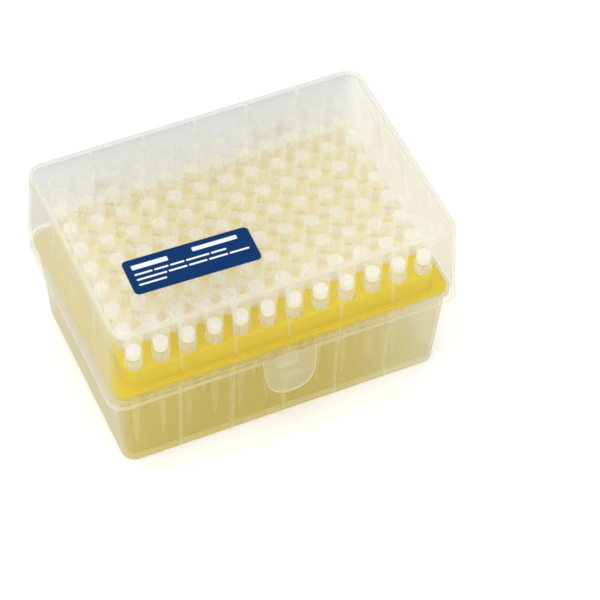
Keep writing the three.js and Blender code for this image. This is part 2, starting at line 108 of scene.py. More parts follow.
def add_node(tree, kind, inputs=(), **settings):
    """Adds a node. Inputs maps a socket's name or number to a value or to the output linked to it."""
    node = tree.nodes.new(kind)
    for key, value in settings.items():
        setattr(node, key, value)
    for key, value in dict(inputs).items():
        if isinstance(value, bpy.types.NodeSocket):
            tree.links.new(value, node.inputs[key])
        else:
            node.inputs[key].default_value = value
    return node


def math_node(tree, operation, *values):
    """The result of a Math node on numbers or outputs."""
    return add_node(tree, "ShaderNodeMath", dict(enumerate(values)), operation=operation).outputs[0]


def seen_directly(tree):
    """1 on a ray from the camera, from a gloss or through a wall, and otherwise 0."""
    path = add_node(tree, "ShaderNodeLightPath")
    seen = math_node(tree, "MAXIMUM", path.outputs["Is Camera Ray"], path.outputs["Is Glossy Ray"])
    return math_node(tree, "MAXIMUM", seen, path.outputs["Is Transmission Ray"])


paper, tree = shader_tree("white_paper")
matt = add_node(tree, "ShaderNodeBsdfDiffuse", {"Color": (*[PAPER_SHADE] * 3, 1), "Roughness": PAPER_ROUGH})
lift = add_node(tree, "ShaderNodeEmission", {"Color": (1, 1, 1, 1), "Strength": PAPER_LIFT})
lifted = add_node(tree, "ShaderNodeAddShader", {0: matt.outputs[0], 1: lift.outputs[0]})
mixed = add_node(
    tree, "ShaderNodeMixShader", {0: seen_directly(tree), 1: matt.outputs[0], 2: lifted.outputs[0]}
)
tree.links.new(mixed.outputs[0], tree.nodes["Material Output"].inputs["Surface"])

sheet = bpy.data.meshes.new("paper")
half = PAPER_SIDE / 2
corners = [(-half, -half), (half, -half), (half, half), (-half, half)]
sheet.from_pydata([(x, y, -PAPER_DROP) for x, y in corners], [], [(0, 1, 2, 3)])
sheet.materials.append(paper)
floor = bpy.data.objects.new("paper", sheet)
scene.collection.objects.link(floor)

room = bpy.data.worlds.new("room")
scene.world = room
room.use_nodes = True
tree = room.node_tree
tree.nodes.clear()
dim = add_node(tree, "ShaderNodeBackground", {"Color": (1, 1, 1, 1), "Strength": ROOM_LIGHT})
white = add_node(tree, "ShaderNodeBackground", {"Color": (1, 1, 1, 1), "Strength": 1.0})
mixed = add_node(
    tree, "ShaderNodeMixShader", {0: seen_directly(tree), 1: dim.outputs[0], 2: white.outputs[0]}
)
add_node(tree, "ShaderNodeOutputWorld", {"Surface": mixed.outputs[0]})


def lamp(name, place, side, power):
    """A square soft lamp that faces the box."""
    light = bpy.data.lights.new(name, "AREA")
    light.size = side
    light.energy = power
    holder = bpy.data.objects.new(name, light)
    holder.location = place
    holder.rotation_mode = "QUATERNION"
    holder.rotation_quaternion = (-Vector(place)).to_track_quat("-Z", "Y")
    scene.collection.objects.link(holder)


lamp("overhead", OVERHEAD_PLACE, OVERHEAD_SIDE, OVERHEAD_POWER)
lamp("left", LEFT_PLACE, LEFT_SIDE, LEFT_POWER)


# ---------------------------------------------------------------- base
# The lower tray, injection moulded in natural polypropylene: leaning walls with ribs inside, and a rim that
# steps out to fit inside the lid. Two pairs of ears with pins for the hinge stand on its back wall.

RIM_TOP = 36.2 * MM
RIM_FOOT = 33.1 * MM
RIM_HALF = Vector((58.2, 38.35)) * MM
RIM_STEP = Vector((1.1, 0.85)) * MM
RIM_LIP = 0.7 * MM
LEDGE = 34.7 * MM
BASE_LEAN = Vector((0.07, 0.0437))
BASE_WALL = 1.3 * MM
BASE_FLOOR = 1.5 * MM
BASE_CORNER = 4.7 * MM
BASE_EDGE = 0.8 * MM
FLOOR_FILLET = 1.2 * MM
RIM_EDGE = 0.2 * MM
FLAT_EDGE = 0.4 * MM  # a narrow band beside each rounding, so that the flat faces shade as flat
CORNER_STEPS = 9
SMOOTH_UP_TO = math.radians(32)

RIB_THICK = 0.9 * MM
RIB_DEPTH = 0.7 * MM
RIB_SPACING = 18 * MM
RIB_ROOT = 0.6 * MM
RIB_FOOT = 1.4 * MM
RIB_FOOT_RISE = 2.6 * MM
BASE_RIB_TOP = 33.2 * MM
GRID_OFFSET = -0.25 * MM

CATCH_LEDGE = 26.6 * MM
CATCH_TOP = 31.4 * MM
CATCH_DEPTH = 1.5 * MM
CATCH_WIDTH = 7 * MM

HINGE_X = 30 * MM
HINGE_Y = 43.15 * MM
HINGE_Z = 41.0 * MM
KNUCKLE = 2.0 * MM
PIN = 1.0 * MM
CLIP_WIDTH = 8 * MM
EAR_THICK = 1.6 * MM
EAR_GAP = 0.3 * MM
EAR_DROP = 14 * MM
EAR_CHEEK = 3 * MM
PIN_SIDES = 40
EAR_STEPS = 16

# The two colours below are painted light: the rack's yellow light in the base's walls, and paler light
# towards the right end and on the ends.
PAINTED_RACK_LIGHT = (0.78, 0.70, 0.20)
PAINTED_PALE_LIGHT = (0.86, 0.83, 0.66)
# a painted highlight over each rib, where the plastic is thickest
RIB_PAINTED_HIGHLIGHT = (0.96, 0.94, 0.80)
FORWARD = 0.75  # share of the scattered light that goes on through the wall
GRAIN = 0.15  # relief of the moulded surface
LEAST = 0.2
GLARE = 0.6
GLOSS = 0.015  # seen straight on
WALL_GRAIN_SCALE = 900.0
WALL_GRAIN_DEPTH = 0.05 * MM
BASE_HAZE = (0.205, 0.22, 0.4, 0.3)  # on the long walls, the ends and the floor, and added on roundings
BASE_ROUGH = 0.22
BASE_RIB_HAZE = 0.45
BASE_RIB_MILK = (0.93, 0.92, 0.76)
BASE_RIB_ROUGH = 0.2
# the width of the painted highlights over the ribs
RIB_HIGHLIGHT_CORE = 0.15 * MM
RIB_HIGHLIGHT_EDGE = 0.5 * MM
LONG_RIBS_REACH = 45 * MM
END_RIBS_REACH = 27 * MM
# Where the painted light grows paler along the long walls
PAINTED_PALER_FROM = 10 * MM
PAINTED_PALER_TO = 58 * MM
PAINTED_PALER_SHARE = 0.9


def milky_plastic(
    name, haze, milk, roughness, grain=GRAIN, onward=None, forward=FORWARD, least=LEAST, glare=GLARE
):
    """See-through plastic: a view through a slanting wall meets more of its milk.

    Haze, the share of light that one face scatters, and milk, its colour, are values or functions of the
    tree. Onward is the colour of the scattered light that goes on through the wall, where it isn't the
    milk's, and forward is its share. Least limits how much a slant thickens the wall, and glare is the gloss
    at its edge.
    """
    material, tree = shader_tree(name)
    facing = add_node(tree, "ShaderNodeLayerWeight", {"Blend": 0.5}).outputs["Facing"]
    slant = math_node(tree, "MAXIMUM", math_node(tree, "SUBTRACT", 1.0, facing), least)
    clouded = haze(tree) if callable(haze) else haze
    kept = math_node(
        tree, "POWER", math_node(tree, "SUBTRACT", 1.0, clouded), math_node(tree, "DIVIDE", 1.0, slant)
    )
    through = add_node(tree, "ShaderNodeBsdfTransparent", {"Color": (1, 1, 1, 1)})
    noise = add_node(tree, "ShaderNodeTexNoise", {
        "Vector": add_node(tree, "ShaderNodeTexCoord").outputs["Object"],
        "Scale": WALL_GRAIN_SCALE,
        "Detail": 3.0,
    })
    bump = add_node(tree, "ShaderNodeBump", {
        "Strength": grain, "Distance": WALL_GRAIN_DEPTH, "Height": noise.outputs[0],
    }).outputs[0]
    colour = milk(tree) if callable(milk) else (*milk, 1)
    lit = add_node(tree, "ShaderNodeBsdfDiffuse", {"Color": colour, "Normal": bump})
    passed = colour if onward is None else onward(tree)
    glow = add_node(tree, "ShaderNodeBsdfTranslucent", {"Color": passed, "Normal": bump})
    cloud = add_node(tree, "ShaderNodeMixShader", {0: forward, 1: lit.outputs[0], 2: glow.outputs[0]})
    wall = add_node(tree, "ShaderNodeMixShader", {0: kept, 1: cloud.outputs[0], 2: through.outputs[0]})
    fifth = math_node(tree, "POWER", facing, 5.0)
    gloss_share = math_node(tree, "MULTIPLY_ADD", fifth, glare, GLOSS)
    gloss = add_node(tree, "ShaderNodeBsdfGlossy", {"Roughness": roughness, "Normal": bump})
    glazed = add_node(tree, "ShaderNodeMixShader", {0: gloss_share, 1: wall.outputs[0], 2: gloss.outputs[0]})
    tree.links.new(glazed.outputs[0], tree.nodes["Material Output"].inputs["Surface"])
    return material


def facing_shares(tree):
    """How far a face looks along X, how far up or down, and how near it is to half way between up and out."""
    normal = add_node(tree, "ShaderNodeTexCoord").outputs["Normal"]
    axes = add_node(tree, "ShaderNodeSeparateXYZ", {0: normal})
    across = math_node(tree, "MULTIPLY", axes.outputs[0], axes.outputs[0])
    up = math_node(tree, "MULTIPLY", axes.outputs[2], axes.outputs[2])
    rest = math_node(tree, "SUBTRACT", 1.0, up)
    slanting = math_node(tree, "MULTIPLY", math_node(tree, "MULTIPLY", up, 4.0), rest)
    return across, up, slanting


def haze_by_face(long_wall, end, flat, edge):
    """Haze by which way a face looks: front and back, the ends, up and down, and more on the roundings."""
    def haze(tree):
        across, up, slanting = facing_shares(tree)
        amount = math_node(tree, "MULTIPLY_ADD", across, end - long_wall, long_wall)
        amount = math_node(tree, "MULTIPLY_ADD", up, flat - long_wall, amount)
        return math_node(tree, "MULTIPLY_ADD", slanting, edge, amount)
    return haze


MIX_COLOURS = 6  # the first of the Mix node's two colour inputs
MIX_RESULT = 2  # its colour output


def blend(tree, share, *colours):
    """A colour between two, by a share. Each is a tuple or an output."""
    inputs = {0: share}
    for socket, colour in enumerate(colours, MIX_COLOURS):
        inputs[socket] = colour if isinstance(colour, bpy.types.NodeSocket) else (*colour, 1)
    return add_node(tree, "ShaderNodeMix", inputs, data_type="RGBA").outputs[MIX_RESULT]


def ring(half_x, half_y, corner, z):
    """Points round a rounded rectangle at height z, anticlockwise from above."""
    points = []
    for quarter, (side_x, side_y) in enumerate([(1, 1), (-1, 1), (-1, -1), (1, -1)]):
        for step in range(CORNER_STEPS + 1):
            turn = math.pi / 2 * (quarter + step / CORNER_STEPS)
            points.append(Vector((
                side_x * (half_x - corner) + corner * math.cos(turn),
                side_y * (half_y - corner) + corner * math.sin(turn),
                z,
            )))
    return points


def skin(rings, closed=False):
    """A closed mesh through rings of equal length, with flat ends or its last ring joined to its first."""
    mesh = bmesh.new()
    made = [[mesh.verts.new(point) for point in points] for points in rings]
    count = len(made[0])
    pairs = list(zip(made, made[1:]))
    if closed:
        pairs.append((made[-1], made[0]))
    for low, high in pairs:
        for i in range(count):
            j = (i + 1) % count
            mesh.faces.new((low[i], low[j], high[j], high[i]))
    if not closed:
        mesh.faces.new(reversed(made[0]))
        mesh.faces.new(made[-1])
    bmesh.ops.recalc_face_normals(mesh, faces=mesh.faces)
    return mesh


def solid(name, mesh):
    """An object from a bmesh."""
    data = bpy.data.meshes.new(name)
    mesh.to_mesh(data)
    mesh.free()
    made = bpy.data.objects.new(name, data)
    scene.collection.objects.link(made)
    return made


def bar(name, outline, width, x=0.0):
    """A prism along X whose outline is of (y, z) points."""
    return solid(name, skin([[Vector((x + side * width / 2, y, z)) for y, z in outline] for side in (-1, 1)]))


def pin(name, radius, width, x, y, z):
    """A round bar along X."""
    turns = [2 * math.pi * i / PIN_SIDES for i in range(PIN_SIDES)]
    return bar(name, [(y + radius * math.cos(t), z + radius * math.sin(t)) for t in turns], width, x)


def crossbar(name, outline, y=0.0):
    """A prism along Y, RIB_THICK wide, whose outline is of (x, z) points."""
    sides = (y - RIB_THICK / 2, y + RIB_THICK / 2)
    return solid(name, skin([[Vector((x, at, z)) for x, z in outline] for at in sides]))


def combine(target, others, operation):
    """Joins the other objects to the target, or cuts them from it, and removes them."""
    for other in others:
        step = target.modifiers.new("combine", "BOOLEAN")
        step.operation = operation
        step.solver = "EXACT"
        step.material_mode = "TRANSFER"
        step.object = other
    shape = target.evaluated_get(bpy.context.evaluated_depsgraph_get())
    applied = bpy.data.meshes.new_from_object(shape)
    target.modifiers.clear()
    target.data = applied
    for other in others:
        bpy.data.objects.remove(other)


def coat(material, *objects):
    """Gives objects their material before they are joined into a piece."""
    for made in objects:
        made.data.materials.clear()
        made.data.materials.append(material)


def soften(made):
    """Soft shading across a piece's gentle edges."""
    made.data.shade_smooth()
    made.data.set_sharp_from_angle(angle=SMOOTH_UP_TO)


def rounding(radius, steps=4):
    """Pairs of (inset, drop) round a quarter circle, from the flat to the upright."""
    turns = [math.pi / 2 * step / steps for step in range(steps + 1)]
    return [(radius * (1 - math.sin(turn)), radius * (1 - math.cos(turn))) for turn in turns]


def copies_tree():
    """A node group that sets copies of an object in rows and columns, each turned at random on its axis."""
    tree = bpy.data.node_groups.new("copies_on_a_grid", "GeometryNodeTree")
    face = tree.interface
    for name, kind, value in (
        ("Copy", "NodeSocketObject", None),
        ("Columns", "NodeSocketInt", 1),
        ("Rows", "NodeSocketInt", 1),
        ("Column Pitch", "NodeSocketFloat", 0.0),
        ("Row Pitch", "NodeSocketFloat", 0.0),
        ("Centre Y", "NodeSocketFloat", 0.0),
        ("Height", "NodeSocketFloat", 0.0),
        ("Turn", "NodeSocketFloat", 0.0),
        ("Seed", "NodeSocketInt", 7),
        ("Finish", "NodeSocketMaterial", None),
    ):
        socket = face.new_socket(name, in_out="INPUT", socket_type=kind)
        if value is not None:
            socket.default_value = value
    face.new_socket("Geometry", in_out="OUTPUT", socket_type="NodeSocketGeometry")
    given = tree.nodes.new("NodeGroupInput").outputs
    count = math_node(tree, "MULTIPLY", given["Columns"], given["Rows"])
    index = tree.nodes.new("GeometryNodeInputIndex").outputs[0]
    column = math_node(tree, "MODULO", index, given["Columns"])
    row = math_node(tree, "FLOOR", math_node(tree, "DIVIDE", index, given["Columns"]))

    def centred(number, total, pitch):
        middle = math_node(tree, "DIVIDE", math_node(tree, "SUBTRACT", total, 1.0), 2.0)
        return math_node(tree, "MULTIPLY", math_node(tree, "SUBTRACT", number, middle), pitch)

    across = centred(column, given["Columns"], given["Column Pitch"])
    along = math_node(tree, "ADD", centred(row, given["Rows"], given["Row Pitch"]), given["Centre Y"])
    place = add_node(tree, "ShaderNodeCombineXYZ", {0: across, 1: along, 2: given["Height"]})
    line = add_node(tree, "GeometryNodeMeshLine", {"Count": count, "Offset": (0, 0, 0)})
    points = add_node(tree, "GeometryNodeSetPosition", {
        "Geometry": line.outputs[0], "Position": place.outputs[0],
    })
    copy = add_node(tree, "GeometryNodeObjectInfo", {"Object": given["Copy"]})
    chance = add_node(tree, "FunctionNodeRandomValue", {
        "Min": 0.0, "Max": given["Turn"], "Seed": given["Seed"],
    }, data_type="FLOAT")
    random_turn = next(o for o in chance.outputs if o.enabled)
    spin = add_node(tree, "ShaderNodeCombineXYZ", {2: random_turn})
    placed = add_node(tree, "GeometryNodeInstanceOnPoints", {
        "Points": points.outputs[0],
        "Instance": copy.outputs["Geometry"],
        "Rotation": spin.outputs[0],
    })
    real = add_node(tree, "GeometryNodeRealizeInstances", {0: placed.outputs[0]})
    finished = add_node(tree, "GeometryNodeSetMaterial", {
        "Geometry": real.outputs[0], "Material": given["Finish"],
    })
    end = tree.nodes.new("NodeGroupOutput")
    tree.links.new(finished.outputs[0], end.inputs[0])
    return tree


COPIES = copies_tree()


def copies(name, source, **settings):
    """One plain mesh of copies of source, by the node group above. The source is removed."""
    made = bpy.data.objects.new(name, bpy.data.meshes.new(name))
    scene.collection.objects.link(made)
    step = made.modifiers.new("copies", "NODES")
    step.node_group = COPIES
    names = {item.name: item.identifier for item in COPIES.interface.items_tree if item.in_out == "INPUT"}
    step[names["Copy"]] = source
    for key, value in settings.items():
        step[names[key.replace("_", " ")]] = value
    shape = made.evaluated_get(bpy.context.evaluated_depsgraph_get())
    applied = bpy.data.meshes.new_from_object(shape)
    made.modifiers.clear()
    made.data = applied
    bpy.data.objects.remove(source)
    return made


def wall_ribs(name, outline, inner, finish, count_long=5, count_short=3):
    """Ribs on all four walls. The outline is of (depth, z) points in from the wall at inner(z)."""
    made = []
    for side in (-1, 1):
        wall = [(side * (inner(z)[1] - depth), z) for depth, z in outline]
        source = bar(name, wall, RIB_THICK)
        made.append(copies(
            f"{name}_y{side}", source, Columns=count_long, Column_Pitch=RIB_SPACING, Finish=finish
        ))
        end = [(side * (inner(z)[0] - depth), z) for depth, z in outline]
        source = crossbar(name, end)
        made.append(copies(
            f"{name}_x{side}", source, Rows=count_short, Row_Pitch=RIB_SPACING, Centre_Y=GRID_OFFSET,
            Finish=finish,
        ))
    return made


def base_half(z):
    """Half the base's length and depth outside, at a height."""
    half = RIM_HALF - RIM_STEP + BASE_LEAN * (z - RIM_FOOT)
    return half.x, half.y


def base_inner(z):
    """The same inside."""
    return tuple(half - BASE_WALL for half in base_half(z))


def base_ring(z, inset, corner):
    """A ring on the base's leaning wall, or inset from it."""
    half_x, half_y = base_half(z)
    return ring(half_x - inset, half_y - inset, corner, z)


def rim_ring(z, inset):
    """A ring on the upright rim, or inset from it."""
    return ring(RIM_HALF.x - inset, RIM_HALF.y - inset, BASE_CORNER - inset, z)


def rib_highlight_lines(tree, axes):
    """1 on the strip of a wall's outside that has a rib behind it, where the plastic is thickest: the mask of
    a painted highlight.
    """
    across, up, _ = facing_shares(tree)
    long_wall = math_node(tree, "SUBTRACT", 1.0, math_node(tree, "ADD", across, up))
    lines = 0.0
    for place, middle, reach, share in (
        (axes.outputs[0], 0.0, LONG_RIBS_REACH, long_wall),
        (axes.outputs[1], GRID_OFFSET, END_RIBS_REACH, across),
    ):
        along = math_node(tree, "SUBTRACT", place, middle)
        near = math_node(tree, "ABSOLUTE", math_node(tree, "WRAP", along, RIB_SPACING / 2, -RIB_SPACING / 2))
        strip = add_node(tree, "ShaderNodeMapRange", {
            "Value": near, "From Min": RIB_HIGHLIGHT_CORE, "From Max": RIB_HIGHLIGHT_EDGE, "To Min": 1.0, "To Max": 0.0,
        })
        inside = math_node(tree, "LESS_THAN", math_node(tree, "ABSOLUTE", along), reach)
        strip = math_node(tree, "MULTIPLY", math_node(tree, "MULTIPLY", strip.outputs[0], inside), share)
        lines = math_node(tree, "ADD", strip, lines)
    return lines


def base_milk_and_painted_light(tree):
    """Painted light: the rack's yellow where the tips stand behind a long wall, paler at its right and on the
    ends.
    """
    place = add_node(tree, "ShaderNodeTexCoord").outputs["Object"]
    axes = add_node(tree, "ShaderNodeSeparateXYZ", {0: place})
    # painted paler light towards the right end of a long wall
    right = add_node(tree, "ShaderNodeMapRange", {
        "Value": axes.outputs[0], "From Min": PAINTED_PALER_FROM, "From Max": PAINTED_PALER_TO, "To Min": 0.0,
        "To Max": PAINTED_PALER_SHARE,
    }, interpolation_type="SMOOTHSTEP")
    across = facing_shares(tree)[0]
    # painted light: yellow from the rack, paler at the right and on the ends
    painted_wall_light = blend(tree, math_node(tree, "MAXIMUM", right.outputs[0], across), PAINTED_RACK_LIGHT, PAINTED_PALE_LIGHT)
    # painted highlights over the ribs
    return blend(tree, rib_highlight_lines(tree, axes), painted_wall_light, RIB_PAINTED_HIGHLIGHT)


base_plastic = milky_plastic("base_plastic", haze_by_face(*BASE_HAZE), base_milk_and_painted_light, BASE_ROUGH)
base_rib_plastic = milky_plastic("base_rib_plastic", BASE_RIB_HAZE, BASE_RIB_MILK, BASE_RIB_ROUGH)

rings = [base_ring(0, BASE_EDGE + FLAT_EDGE, BASE_CORNER - BASE_EDGE - FLAT_EDGE)]
rings += [base_ring(drop, inset, BASE_CORNER - inset) for inset, drop in rounding(BASE_EDGE)]
rings.append(base_ring(BASE_EDGE + FLAT_EDGE, 0, BASE_CORNER))
rings.append(base_ring(RIM_FOOT - FLAT_EDGE, 0, BASE_CORNER))
rings.append(base_ring(RIM_FOOT, 0, BASE_CORNER))
rings.append(rim_ring(RIM_FOOT + RIM_LIP, 0))
rings += [rim_ring(RIM_TOP - drop, inset) for inset, drop in reversed(rounding(RIM_EDGE))]
rings.append(rim_ring(RIM_TOP, RIM_LIP - RIM_EDGE))
rings.append(rim_ring(RIM_TOP - RIM_EDGE, RIM_LIP))
rings.append(rim_ring(LEDGE, RIM_LIP))
rings.append(base_ring(LEDGE, BASE_WALL, BASE_CORNER - BASE_WALL))
rings.append(base_ring(BASE_FLOOR + FLOOR_FILLET + FLAT_EDGE, BASE_WALL, BASE_CORNER - BASE_WALL))
for inset, drop in reversed(rounding(FLOOR_FILLET)):
    rings.append(base_ring(BASE_FLOOR + drop, BASE_WALL + inset, BASE_CORNER - BASE_WALL - inset))
floor_corner = BASE_CORNER - BASE_WALL - FLOOR_FILLET - FLAT_EDGE
rings.append(base_ring(BASE_FLOOR, BASE_WALL + FLOOR_FILLET + FLAT_EDGE, floor_corner))
base = solid("base_shell", skin(rings))

base_ribs = wall_ribs(
    "base_rib",
    [
        (-RIB_ROOT, BASE_FLOOR - RIB_ROOT),
        (RIB_DEPTH + RIB_FOOT, BASE_FLOOR - RIB_ROOT),
        (RIB_DEPTH + RIB_FOOT, BASE_FLOOR),
        (RIB_DEPTH, BASE_FLOOR + RIB_FOOT_RISE),
        (RIB_DEPTH, BASE_RIB_TOP),
        (-RIB_ROOT, BASE_RIB_TOP),
    ],
    base_inner,
    base_rib_plastic,
)
catch = bar("catch", [
    (-base_half(CATCH_LEDGE)[1] + RIB_ROOT, CATCH_LEDGE),
    (-base_half(CATCH_LEDGE)[1] - CATCH_DEPTH, CATCH_LEDGE),
    (-base_half(CATCH_TOP)[1], CATCH_TOP),
    (-base_half(CATCH_TOP)[1] + RIB_ROOT, CATCH_TOP),
], CATCH_WIDTH)
ear_foot = HINGE_Z - EAR_DROP
cheek = []
for i in range(EAR_STEPS + 1):
    turn = math.pi * i / EAR_STEPS
    cheek.append((HINGE_Y + KNUCKLE * math.cos(turn), HINGE_Z + KNUCKLE * math.sin(turn)))
ear_outline = [
    (RIM_HALF.y - RIM_LIP / 2, RIM_TOP - RIM_EDGE),
    (base_half(ear_foot)[1] - RIB_ROOT, ear_foot),
    (HINGE_Y + KNUCKLE, HINGE_Z - EAR_CHEEK),
    *cheek,
    (HINGE_Y - KNUCKLE, RIM_TOP - RIM_EDGE),
]
ear_offset = CLIP_WIDTH / 2 + EAR_GAP + EAR_THICK / 2
ears = []
for middle in (-HINGE_X, HINGE_X):
    for x in (middle - ear_offset, middle + ear_offset):
        ears.append(bar("ear", ear_outline, EAR_THICK, x))
    ears.append(pin("pin", PIN, 2 * ear_offset, middle, HINGE_Y, HINGE_Z))
coat(base_plastic, base, *ears)
coat(base_rib_plastic, catch)
combine(base, base_ribs + [catch] + ears, "UNION")
soften(base)
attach(base, "box")
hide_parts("base")


# ---------------------------------------------------------------- rack
# A bright yellow moulded deck on a thin skirt, whose flange rests on the base's ledge inside the rim. It has
# a round hole for each tip.

DECK_TOP = 43.25 * MM
DECK_THICK = 1.5 * MM
DECK_HALF = Vector((52.9, 34.9)) * MM
DECK_CORNER = 3.5 * MM
DECK_EDGE = 0.5 * MM
SKIRT_WALL = 0.7 * MM
FLANGE_HALF = Vector((57.2, 37.35)) * MM
FLANGE_CORNER = 4.0 * MM
FLANGE_FOOT = 35.0 * MM
HOLE_RADIUS = 2.75 * MM
PITCH = 9 * MM
COLUMNS = 12
ROWS = 8
HOLE_SIDES = 28
RACK_YELLOW = (0.912, 0.80, 0.0015)
SHADING_SCALE = 60.0
RACK_GRAIN_SCALE = 1500.0
RACK_GRAIN = 0.2
RACK_GRAIN_DEPTH = 0.05 * MM
RACK_GLOW = 0.55  # share of its light that passes through the thin deck
RACK_GLOSS = 0.015
RACK_ROUGH = 0.35
PALE_YELLOW = (0.937, 0.827, 0.0035)


def deck_ring(z, inset=0.0):
    """A ring on the deck's side, which is centred on the grid of holes."""
    points = ring(DECK_HALF.x - inset, DECK_HALF.y - inset, DECK_CORNER - inset, z)
    return [point + Vector((0, GRID_OFFSET, 0)) for point in points]


rings = [deck_ring(DECK_TOP - DECK_THICK, SKIRT_WALL), deck_ring(FLANGE_FOOT, SKIRT_WALL)]
rings.append(ring(FLANGE_HALF.x, FLANGE_HALF.y, FLANGE_CORNER, FLANGE_FOOT))
rings.append(ring(FLANGE_HALF.x, FLANGE_HALF.y, FLANGE_CORNER, RIM_TOP))
rings.append(deck_ring(RIM_TOP))
rings += [deck_ring(DECK_TOP - drop, inset) for inset, drop in reversed(rounding(DECK_EDGE))]
rack = solid("rack_deck", skin(rings))
turns = [2 * math.pi * i / HOLE_SIDES for i in range(HOLE_SIDES)]
hole = solid("hole", skin([
    [Vector((HOLE_RADIUS * math.cos(t), HOLE_RADIUS * math.sin(t), z)) for t in turns]
    for z in (DECK_TOP - 2 * DECK_THICK, DECK_TOP + DECK_THICK)
]))
holes = copies(
    "holes", hole, Columns=COLUMNS, Rows=ROWS, Column_Pitch=PITCH, Row_Pitch=PITCH, Centre_Y=GRID_OFFSET
)
combine(rack, [holes], "DIFFERENCE")

yellow, tree = shader_tree("yellow_rack")
place = add_node(tree, "ShaderNodeTexCoord").outputs["Object"]
cloud = add_node(tree, "ShaderNodeTexNoise", {"Vector": place, "Scale": SHADING_SCALE, "Detail": 2.0})
tone = blend(tree, cloud.outputs[0], RACK_YELLOW, PALE_YELLOW)
grain = add_node(tree, "ShaderNodeTexNoise", {"Vector": place, "Scale": RACK_GRAIN_SCALE, "Detail": 2.0})
bump = add_node(tree, "ShaderNodeBump", {
    "Strength": RACK_GRAIN, "Distance": RACK_GRAIN_DEPTH, "Height": grain.outputs[0],
})
lit = add_node(tree, "ShaderNodeBsdfDiffuse", {"Color": tone, "Normal": bump.outputs[0]})
glow = add_node(tree, "ShaderNodeBsdfTranslucent", {"Color": tone, "Normal": bump.outputs[0]})
body = add_node(tree, "ShaderNodeMixShader", {0: RACK_GLOW, 1: lit.outputs[0], 2: glow.outputs[0]})
gloss = add_node(tree, "ShaderNodeBsdfGlossy", {"Roughness": RACK_ROUGH, "Normal": bump.outputs[0]})
glazed = add_node(tree, "ShaderNodeMixShader", {0: RACK_GLOSS, 1: body.outputs[0], 2: gloss.outputs[0]})
tree.links.new(glazed.outputs[0], tree.nodes["Material Output"].inputs["Surface"])
coat(yellow, rack)
soften(rack)
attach(rack, "box")
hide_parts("rack")


# ---------------------------------------------------------------- tips
# Long tips moulded in clear polypropylene. Each has a plain collar with a bead under it, and eight ribs whose
# feet seat on the rack around its hole, with a gap of about 0.3 mm, as between the flange and the ledge. They
# stand in the holes at whatever turn they were dropped in.

MOUTH_HEIGHT = 63.35 * MM
TIP_POINTS = 40
RIBS_PER_TIP = 8
# (outer radius, depth below the mouth, radius of the ribs or None), from the point up, in millimetres
TIP_OUTSIDE = [
    (0.50, 59.0, None), (2.42, 20.1, None), (2.46, 19.85, None), (2.50, 19.75, 2.92), (2.66, 8.3, 3.04),
    (2.70, 8.1, None), (3.04, 7.8, None), (3.12, 7.4, None), (3.04, 7.0, None), (2.74, 6.75, None),
    (3.14, 1.0, None), (3.28, 0.3, None), (3.24, 0.0, None),
]
# (radius, depth below the mouth) of the bore, from the mouth down, in millimetres
TIP_INSIDE = [(2.84, 0.0), (2.72, 0.5), (2.38, 12.2), (2.26, 16.0), (2.16, 18.0), (0.25, 59.0)]
TIP_MILK = (0.995, 0.99, 0.965)
TIP_ROUGH = 0.2
TIP_LEAST = 0.6
TIP_GLARE = 0.05
TIP_SEED = 11
CORE_HAZE = 0.09
COLLAR_HAZE = 0.02  # added on the collar, the bead and the ribs, which stand out of the core
SHANK_HAZE = 0.13  # added below the filter, where the wall thickens
CORE_EDGE = (2.68 * MM, 2.9 * MM)
SHANK_TOP = 47.3 * MM
TIP_FORWARD = 0.85
LIP = 0.9 * MM
LIP_HAZE = 0.04


def tip_haze(tree):
    """Haze by how far a face stands from its own tip's axis, and by its height."""
    place = add_node(tree, "ShaderNodeTexCoord").outputs["Object"]
    axes = add_node(tree, "ShaderNodeSeparateXYZ", {0: place})
    across = math_node(tree, "WRAP", axes.outputs[0], PITCH, 0.0)
    across = math_node(tree, "SUBTRACT", across, PITCH / 2)
    along = math_node(tree, "WRAP", math_node(tree, "SUBTRACT", axes.outputs[1], GRID_OFFSET), PITCH, 0.0)
    along = math_node(tree, "SUBTRACT", along, PITCH / 2)
    square = math_node(tree, "MULTIPLY_ADD", across, across, math_node(tree, "MULTIPLY", along, along))
    outer = add_node(tree, "ShaderNodeMapRange", {
        "Value": math_node(tree, "SQRT", square), "From Min": CORE_EDGE[0], "From Max": CORE_EDGE[1],
        "To Min": 0.0, "To Max": COLLAR_HAZE,
    })
    shank = math_node(tree, "LESS_THAN", axes.outputs[2], SHANK_TOP)
    amount = math_node(tree, "MULTIPLY_ADD", shank, SHANK_HAZE, CORE_HAZE)
    mouth = math_node(tree, "GREATER_THAN", axes.outputs[2], MOUTH_HEIGHT - LIP)
    amount = math_node(tree, "MULTIPLY_ADD", mouth, LIP_HAZE, amount)
    return math_node(tree, "ADD", amount, outer.outputs[0])


def tip_ring(radius, depth, rib):
    """A ring round a tip at a depth below its mouth. Where rib is a radius, the ribs stand out to it."""
    points = []
    per_rib = TIP_POINTS // RIBS_PER_TIP
    for i in range(TIP_POINTS):
        turn = 2 * math.pi * i / TIP_POINTS
        reach = rib if rib is not None and i % per_rib in (0, 1) else radius
        points.append(Vector((reach * MM * math.cos(turn), reach * MM * math.sin(turn), -depth * MM)))
    return points


